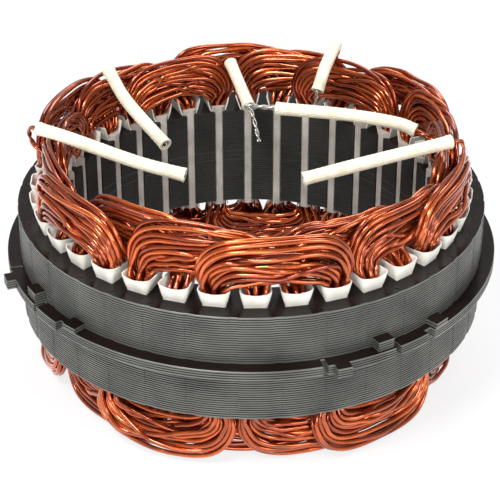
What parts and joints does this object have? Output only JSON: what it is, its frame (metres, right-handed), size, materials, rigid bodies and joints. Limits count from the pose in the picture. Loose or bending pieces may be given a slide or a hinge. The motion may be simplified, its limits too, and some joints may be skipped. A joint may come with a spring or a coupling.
{
  "type": "stator lamination stack",
  "caption": "Wound alternator stator: slotted lamination stack with a clamping flange, lined slots, three-phase wave winding and sleeved leads.",
  "frame": {"origin": "on the bore's axis, level with the upper face of the flange, where the housing seats", "axes": "+Z along the bore's axis towards the end with the leads, -Y towards the front"},
  "size_m": [0.15, 0.15, 0.0825],
  "materials": {
    "lamination_steel": "stamped electrical steel, varnished dark grey",
    "enamelled_copper": "enamelled round wire under clear varnish, glossy red-brown",
    "liner_paper": "ivory insulating paper, slightly waxy",
    "wedge_strip": "pale grey strip, matt",
    "woven_sleeving": "cream woven glass sleeving",
    "tinned_wire": "copper wire, tinned grey at its bare end"
  },
  "bodies": {
    "root": {"core_upper_pack": "lamination_steel", "core_flange_pack": "lamination_steel", "core_lower_pack": "lamination_steel", "slot_liner_01": "liner_paper", "slot_liner_02": "liner_paper", "slot_liner_03": "liner_paper", "slot_liner_04": "liner_paper", "slot_liner_05": "liner_paper", "slot_liner_06": "liner_paper", "slot_liner_07": "liner_paper", "slot_liner_08": "liner_paper", "slot_liner_09": "liner_paper", "slot_liner_10": "liner_paper", "slot_liner_11": "liner_paper", "slot_liner_12": "liner_paper", "slot_liner_13": "liner_paper", "slot_liner_14": "liner_paper", "slot_liner_15": "liner_paper", "slot_liner_16": "liner_paper", "slot_liner_17": "liner_paper", "slot_liner_18": "liner_paper", "slot_liner_19": "liner_paper", "slot_liner_20": "liner_paper", "slot_liner_21": "liner_paper", "slot_liner_22": "liner_paper", "slot_liner_23": "liner_paper", "slot_liner_24": "liner_paper", "slot_liner_25": "liner_paper", "slot_liner_26": "liner_paper", "slot_liner_27": "liner_paper", "slot_liner_28": "liner_paper", "slot_liner_29": "liner_paper", "slot_liner_30": "liner_paper", "slot_liner_31": "liner_paper", "slot_liner_32": "liner_paper", "slot_liner_33": "liner_paper", "slot_liner_34": "liner_paper", "slot_liner_35": "liner_paper", "slot_liner_36": "liner_paper", "slot_wedges": "wedge_strip", "phase_1_winding": "enamelled_copper", "phase_2_winding": "enamelled_copper", "phase_3_winding": "enamelled_copper", "lead_sleeve_1": "woven_sleeving", "lead_wire_1": "tinned_wire", "lead_sleeve_2": "woven_sleeving", "lead_wire_2": "tinned_wire", "lead_sleeve_3": "woven_sleeving", "lead_wire_3": "tinned_wire", "lead_sleeve_4": "woven_sleeving", "lead_wire_4": "tinned_wire", "lead_sleeve_5": "woven_sleeving", "lead_wire_5": "tinned_wire", "lead_sleeve_6": "woven_sleeving", "lead_wire_6": "tinned_wire"}
  },
  "joints": []
}
